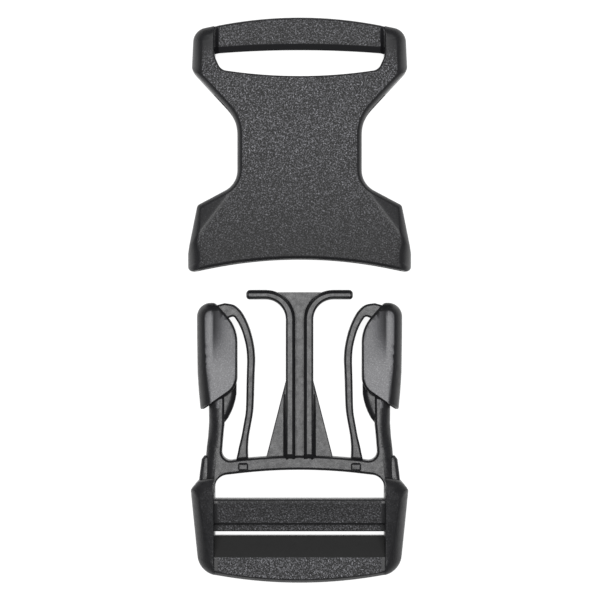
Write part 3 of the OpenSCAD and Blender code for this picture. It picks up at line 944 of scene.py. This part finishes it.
def spring_strand(size, side):
    """Slim strand that flares at its foot and hooks over at its top"""
    # Height, inner side and outer side
    rows = [
        (29.9, 11.85, 14.1),
        (31.2, 11.83, 13.85),
        (33.5, 11.63, 13.29),
        (36.2, 11.14, 12.8),
        (38.96, 10.68, 12.33),
        (41.7, 10.5, 12.2),
        (45.8, 10.39, 12.12),
        (48.6, 10.29, 12.04),
        (51.3, 10.2, 12.0),
        (54.1, 10.44, 12.25),
        (56.8, 11.03, 12.93),
        (58.2, 11.47, 13.44),
        (59.55, 12.0, 14.1),
    ]
    inner = [(x, u) for u, x, _ in rows] + [(12.66, 60.9), (13.6, 62.3), (15.1, 63.55), (17.2, 63.95)]
    outer = [(x, u) for u, _, x in rows]
    fine = size["fine"] + 0.05
    corners = [Corner(14.5, 28.16, 0.0, fine)]
    corners += [Corner(a.x, a.y, 0.0, fine) for a in smooth(outer, 3)]
    corners.append(Corner(15.05, 61.0, 0.7, fine))
    corners += [Corner(16.6, 60.4, 0.0, fine), Corner(19.3, 63.4, 0.0, fine)]
    corners += [Corner(a.x, a.y, 0.0, fine) for a in reversed(smooth(inner, 3))]
    corners.append(Corner(11.8, 28.45, 0.0, 0.55))
    return plug_slab("strand", corners, side, 2.8, 9.2, pieces=4, crease=CRISP)


def measures(scene):
    """Sizes in millimetres, from those that a user can change"""
    chosen = scene.buckle_sizes
    post_width = 5.1
    return {
        "slot_half": chosen.slot_width / MM / 2,
        "post_half": chosen.slot_width / MM / 2 + post_width,
        "thick": chosen.thickness / MM,
        "waist_half": chosen.waist_width / MM / 2,
        "plate": chosen.plate_thickness / MM,
        "edge_round": chosen.edge_round / MM,
        "fine": chosen.fine_round / MM,
        "rib": chosen.rib_width / MM,
    }


def black_acetal(name):
    """New material of black acetal, with its node tree and the coordinates of the piece"""
    material = bpy.data.materials.new(name)
    material.use_nodes = True
    tree = material.node_tree
    # Refractive index of acetal
    tree.nodes["Principled BSDF"].inputs["IOR"].default_value = 1.48
    return material, tree, add_node(tree, "ShaderNodeTexCoord").outputs["Object"]


def grained_acetal(colours):
    """Acetal moulded against spark eroded steel: black, with fine pits that scatter the light to soft grey,
    and painted glints among them
    """
    name = "acetal_spark_eroded"
    if name in bpy.data.materials:
        return bpy.data.materials[name]
    material, tree, place = black_acetal(name)
    parts = add_node(tree, "ShaderNodeSeparateXYZ", links={0: place})
    along = parts.outputs["Y"]
    across = add_node(tree, "ShaderNodeMath", {"operation": "ABSOLUTE"}, {0: parts.outputs["X"]})
    # The socket's end posts are smooth on top, and fade into the grain beside the slot
    post = add_node(tree, "ShaderNodeMapRange", {"From Min": 0.0192, "From Max": 0.0197}, {"Value": across})
    crown = add_node(tree, "ShaderNodeMapRange", {"From Min": 0.0535, "From Max": 0.0585}, {"Value": along})
    # The wings' facets are nearly smooth, beyond their crease and from its start on
    foot = Vector((WING_X, HALF_LENGTH - WING_DEPTH)) * MM
    spot = add_node(tree, "ShaderNodeCombineXYZ", {2: 1.0}, {0: across, 1: along})
    reach = []
    for way in (WING_OUT, WING_RUN):
        plane = {"operation": "DOT_PRODUCT", 1: (way.x, way.y, -way.dot(foot))}
        reach.append(add_node(tree, "ShaderNodeVectorMath", plane, {0: spot}).outputs["Value"])
    facet_share = {"From Min": -0.0009, "From Max": 0.0001, "To Max": 0.8}
    facet = add_node(tree, "ShaderNodeMapRange", facet_share, {"Value": reach[0]})
    past_start = {"From Min": -0.0005, "From Max": 0.0005}
    wing = add_node(tree, "ShaderNodeMapRange", past_start, {"Value": reach[1]})
    # Painted shade: the ladder's bars are left ungrained and dark at their ends, beside the plug's posts,
    # where the posts shade them
    beside_post = {"From Min": 0.0185, "From Max": 0.0189}
    bar_end = add_node(tree, "ShaderNodeMapRange", beside_post, {"Value": across})
    on_ladder = add_node(tree, "ShaderNodeMath", {"operation": "LESS_THAN", 1: -0.04}, {0: along})
    # What is polished here holds the smooth parts and the painted shade at the bars' ends
    polished = None
    for first, second in ((post, crown), (facet, wing), (bar_end, on_ladder)):
        smooth_or_shaded_part = add_node(tree, "ShaderNodeMath", {"operation": "MULTIPLY"}, {0: first, 1: second})
        if polished:
            both = {0: polished, 1: smooth_or_shaded_part}
            smooth_or_shaded_part = add_node(tree, "ShaderNodeMath", {"operation": "MAXIMUM"}, both)
        polished = smooth_or_shaded_part
    the_rest = {"operation": "SUBTRACT", 0: 1.0, "use_clamp": True}
    rough = add_node(tree, "ShaderNodeMath", the_rest, {1: polished})
    level = level_share(tree)
    grained = add_node(tree, "ShaderNodeMath", {"operation": "MULTIPLY"}, {0: level, 1: rough})
    # The painted glints are fainter towards the mouth, where less light falls, calmer on the webbing bar and
    # strong towards the end bar
    fading = {"From Min": 0.008, "From Max": 0.035, "To Min": 0.3}
    fainter = add_node(tree, "ShaderNodeMapRange", fading, {"Value": along})
    calming = {"From Min": 0.0555, "From Max": 0.0575, "To Min": 1.0, "To Max": 0.82}
    calm = add_node(tree, "ShaderNodeMapRange", calming, {"Value": along})
    ladder = add_node(tree, "ShaderNodeMapRange", {"From Min": -0.038, "From Max": -0.0575}, {"Value": along})
    body = add_node(tree, "ShaderNodeMath", {"operation": "MULTIPLY"}, {0: fainter, 1: calm})
    strength = add_node(tree, "ShaderNodeMath", {"operation": "MAXIMUM"}, {0: body, 1: ladder})
    add_pits_and_glints(tree, colours, place, grained, strength, "#080809", colours.glint)
    matt = add_node(tree, "ShaderNodeMapRange", {"To Min": 0.42, "To Max": 0.66}, {"Value": grained})
    tree.links.new(matt.outputs[0], tree.nodes["Principled BSDF"].inputs["Roughness"])
    return material


def level_share(tree):
    """How nearly a place lies level, from nought on the rounds to one on the flat faces"""
    facing = add_node(tree, "ShaderNodeNewGeometry").outputs["Normal"]
    upward = add_node(tree, "ShaderNodeSeparateXYZ", links={0: facing}).outputs["Z"]
    upright = add_node(tree, "ShaderNodeMath", {"operation": "ABSOLUTE"}, {0: upward})
    return add_node(tree, "ShaderNodeMapRange", {"From Min": 0.9, "From Max": 0.967}, {"Value": upright})


def add_pits_and_glints(tree, colours, place, grained, strength, dark, light, depth=1.0, plain=None):
    """Pitted grain with painted glints: light points on a dark ground where the surface is grained, and plain
    elsewhere
    """
    shader = tree.nodes["Principled BSDF"]
    # Turned, so that the noise's cells don't line up with the faces
    turned = add_node(tree, "ShaderNodeMapping", {"Rotation": (0.5, 0.7, 0.3)}, {"Vector": place})
    grain = {"Scale": 1 / colours.grain_size, "Roughness": 0.7}
    pits = add_node(tree, "ShaderNodeTexNoise", grain, {"Vector": turned})
    spread = add_node(tree, "ShaderNodeMapRange", {"From Min": 0.42, "From Max": 0.75}, {"Value": pits})
    peaks = add_node(tree, "ShaderNodeMath", {"operation": "POWER", 1: 2.0}, {0: spread})
    shown = add_node(tree, "ShaderNodeMath", {"operation": "MULTIPLY", 1: 0.35}, {0: peaks})
    if strength:
        tree.links.new(strength.outputs[0], shown.inputs[1])
    tone = add_node(tree, "ShaderNodeMix", {"data_type": "RGBA"}, {"Factor": shown})
    tone.inputs[6].default_value = linear(dark)
    tone.inputs[7].default_value = linear(light)
    ground = add_node(tree, "ShaderNodeMix", {"data_type": "RGBA"}, {"Factor": grained, 7: tone.outputs[2]})
    ground.inputs[6].default_value = linear(colours.plastic)
    if plain:
        tree.links.new(plain, ground.inputs[6])
    tree.links.new(ground.outputs[2], shader.inputs["Base Color"])
    relief = {"Distance": colours.grain_depth * depth}
    bump = add_node(tree, "ShaderNodeBump", relief, {"Strength": grained, "Height": pits})
    tree.links.new(bump.outputs[0], shader.inputs["Normal"])


def pitted_sheen_acetal(colours):
    """Acetal moulded against lightly blasted steel: fine pits on the heads' faces, with a pale painted sheen
    on their level faces for the light they mirror
    """
    name = "acetal_fine_blasted_sheen"
    if name in bpy.data.materials:
        return bpy.data.materials[name]
    material, tree, place = black_acetal(name)
    tree.nodes["Principled BSDF"].inputs["Roughness"].default_value = 0.4
    along = add_node(tree, "ShaderNodeSeparateXYZ", links={0: place}).outputs["Y"]
    # The painted sheen is strongest at the foot of the head, where the face catches more light
    fading = {"From Min": -0.006, "From Max": -0.016, "To Min": 0.3}
    lower = add_node(tree, "ShaderNodeMapRange", fading, {"Value": along})
    # Painted sheen: a grey ground with paler points on the heads' level faces
    add_pits_and_glints(tree, colours, place, level_share(tree), lower, "#505053", colours.sheen, 0.4)
    return material


def satin_acetal(colours):
    """Acetal moulded against polished steel: black and satin, grey where it mirrors the light, with painted
    glints on its level faces and a painted reflection on the end bar's slope
    """
    name = "acetal_satin"
    if name in bpy.data.materials:
        return bpy.data.materials[name]
    material, tree, place = black_acetal(name)
    # Clouds of about 1.5 mm make the gloss uneven, as flow in the mould does
    clouds = {"Scale": 700.0, "Detail": 4.0, "Roughness": 0.7}
    cloud = add_node(tree, "ShaderNodeTexNoise", clouds, {"Vector": place})
    gloss = {"From Min": 0.3, "From Max": 0.7, "To Min": 0.33, "To Max": 0.49}
    matt = add_node(tree, "ShaderNodeMapRange", gloss, {"Value": cloud})
    tree.links.new(matt.outputs[0], tree.nodes["Principled BSDF"].inputs["Roughness"])
    # Painted reflection: the end bar's slope is a shade lighter, where it mirrors the pale floor
    along = add_node(tree, "ShaderNodeSeparateXYZ", links={0: place}).outputs["Y"]
    facing = add_node(tree, "ShaderNodeNewGeometry").outputs["Normal"]
    onward = add_node(tree, "ShaderNodeSeparateXYZ", links={0: facing}).outputs["Y"]
    steep = add_node(tree, "ShaderNodeMapRange", {"From Min": 0.5, "From Max": 0.6}, {"Value": onward})
    near_end = {"From Min": -0.0535, "From Max": -0.0545}
    at_end = add_node(tree, "ShaderNodeMapRange", near_end, {"Value": along})
    painted_reflection = add_node(tree, "ShaderNodeMath", {"operation": "MULTIPLY"}, {0: steep, 1: at_end})
    plain = add_node(tree, "ShaderNodeMix", {"data_type": "RGBA"}, {"Factor": painted_reflection})
    plain.inputs[6].default_value = linear(colours.plastic)
    plain.inputs[7].default_value = linear("#333333")
    # Painted glints: pale points on a near black ground on the level faces
    add_pits_and_glints(tree, colours, place, level_share(tree), None, "#161618", colours.sheen, 0.3, plain.outputs[2])
    return material


def refinish(piece, material, wanted):
    """Gives a second plastic to the faces that lie flat and are wanted, by their place in millimetres"""
    piece.data.materials.append(material)
    for face in piece.data.polygons:
        x, y, z = (c / MM for c in face.center)
        if abs(face.normal.z) > 0.6 and wanted(abs(x), y + HALF_LENGTH, abs(z - MID_HEIGHT)):
            face.material_index = 1


def on_ladder_bar(across, height, level):
    """True on the ladder's two bars, but for the end bar's slope"""
    return across < 19.5 and (height < 5.95 or 11.3 < height < 19.6)


def on_head(across, height, level):
    """True on the upper and lower faces of a release head"""
    return level > 2.3 and height > 40.0


class BUCKLE_OT_stage(bpy.types.Operator):
    """Sets up the pale floor, the soft light and the camera over the buckle"""

    bl_idname = "buckle.stage"
    bl_label = "Stage"

    def execute(self, context):
        scene = context.scene
        deselect_all()
        bpy.ops.mesh.primitive_plane_add(size=4.0, location=(0, 0, 0))
        floor = bpy.context.object
        floor.name = "floor"
        material = bpy.data.materials.new("floor_white")
        material.use_nodes = True
        white = material.node_tree.nodes["Principled BSDF"].inputs
        white["Base Color"].default_value = (0.3, 0.3, 0.3, 1)
        white["Roughness"].default_value = 0.9
        white["Emission Color"].default_value = (1, 1, 1, 1)
        white["Emission Strength"].default_value = 0.88
        floor.data.materials.append(material)
        bpy.ops.object.light_add(type="AREA", location=(0, 0.05, 0.75))
        lamp = bpy.context.object
        lamp.name = "softbox"
        lamp.data.shape = "RECTANGLE"
        lamp.data.size = 0.5
        lamp.data.size_y = 0.5
        lamp.data.energy = 6.9
        world = bpy.data.worlds.new("studio")
        scene.world = world
        world.use_nodes = True
        glow = world.node_tree.nodes["Background"].inputs
        glow["Color"].default_value = (1, 1, 1, 1)
        glow["Strength"].default_value = 0.05
        camera_data = bpy.data.cameras.new("camera")
        camera = bpy.data.objects.new("camera", camera_data)
        scene.collection.objects.link(camera)
        # The photo's 600 pixels of 0.2289 mm fill the view at the height of the faces
        faces_height = 0.008
        view_width = 0.13734
        height = 0.608
        camera.location = (0.0001, 0.0, height)
        camera_data.lens = camera_data.sensor_width * (height - faces_height) / view_width
        camera_data.clip_start = 0.01
        scene.camera = camera
        scene.view_settings.view_transform = "Standard"
        return {"FINISHED"}


class BUCKLE_PT_panel(bpy.types.Panel):
    """Lists the buckle's sizes, colours and pieces in the sidebar"""

    bl_idname = "BUCKLE_PT_panel"
    bl_label = "Side Release Buckle"
    bl_space_type = "VIEW_3D"
    bl_region_type = "UI"
    bl_category = "Buckle"

    def draw(self, context):
        layout = self.layout
        for group in (context.scene.buckle_sizes, context.scene.buckle_colours):
            box = layout.box()
            for name in group.__annotations__:
                box.prop(group, name)
        for operator in OPERATORS:
            layout.operator(operator.bl_idname)


OPERATORS = (BUCKLE_OT_stage, BUCKLE_OT_socket, BUCKLE_OT_plug_frame, BUCKLE_OT_arms, BUCKLE_OT_springs)
CLASSES = (BuckleSizes, BuckleColours) + OPERATORS + (BUCKLE_PT_panel,)


def register():
    for item in CLASSES:
        bpy.utils.register_class(item)
    bpy.types.Scene.buckle_sizes = bpy.props.PointerProperty(type=BuckleSizes)
    bpy.types.Scene.buckle_colours = bpy.props.PointerProperty(type=BuckleColours)


def unregister():
    del bpy.types.Scene.buckle_colours
    del bpy.types.Scene.buckle_sizes
    for item in reversed(CLASSES):
        bpy.utils.unregister_class(item)


def main():
    """Builds the buckle and its stage"""
    register()
    bpy.ops.buckle.stage()
    bpy.ops.buckle.socket()
    bpy.ops.buckle.plug_frame()
    bpy.ops.buckle.arms()
    bpy.ops.buckle.springs()


if __name__ == "__main__":
    main()
